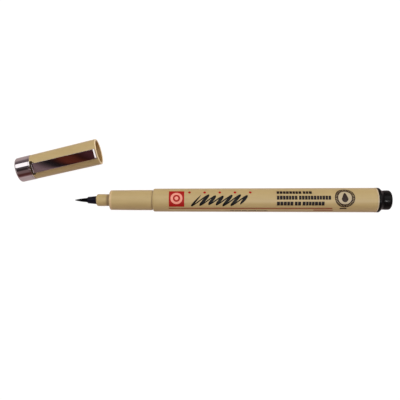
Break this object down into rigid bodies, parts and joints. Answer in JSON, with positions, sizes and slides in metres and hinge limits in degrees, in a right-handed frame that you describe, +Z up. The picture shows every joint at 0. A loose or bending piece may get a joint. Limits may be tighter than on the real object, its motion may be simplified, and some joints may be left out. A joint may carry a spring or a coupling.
{
  "type": "brush pen",
  "caption": "Slim disposable brush pen with a fine black tuft, a stepped tail plug and a separate clip cap lying beside it.",
  "frame": {"origin": "centre of the box around the pen and its cap, on the table that they lie on", "axes": "+X along the pen towards its tail, +Y across the table from the pen to its cap, +Z up from the table"},
  "size_m": [0.1552, 0.0305, 0.012],
  "materials": {
    "tuft": "ink-soaked fine fibre",
    "holder_plastic": "satin",
    "body_plastic": "satin moulded",
    "plug_plastic": "semi-gloss moulded",
    "ink_fibre": "bonded fibre",
    "film": "clear film",
    "liner_plastic": "satin moulded",
    "bright_metal": "bright plated"
  },
  "bodies": {
    "pen": {"nib_holder": "holder_plastic", "feed_core": "ink_fibre", "front_section": "body_plastic", "barrel": "body_plastic", "ink_reservoir": "ink_fibre", "reservoir_film": "film", "end_plug": "plug_plastic"},
    "brush": {"brush_tip": "tuft"},
    "cap": {"cap_shell": "body_plastic", "inner_cap": "liner_plastic", "clip_band": "bright_metal"},
    "clip": {"clip": "bright_metal"}
  },
  "joints": [
    {"name": "brush_flex", "type": "hinge", "parent": "pen", "child": "brush", "pos_m": [-0.04801, -0.01011, 0.00514], "axis": [0, 0, 1], "range_deg": [-25, 25], "stiffness_Nm_per_rad": 0.0002},
    {"name": "cap_pull", "type": "slide", "parent": "pen", "child": "cap", "axis": [-0.9734, -0.2292, 0], "range_m": [0, 0.0327]},
    {"name": "clip_flex", "type": "hinge", "parent": "cap", "child": "clip", "pos_m": [-0.06877, 0.00305, 0.00975], "axis": [0.2233, -0.9484, -0.225], "range_deg": [0, 4], "stiffness_Nm_per_rad": 0.8}
  ]
}
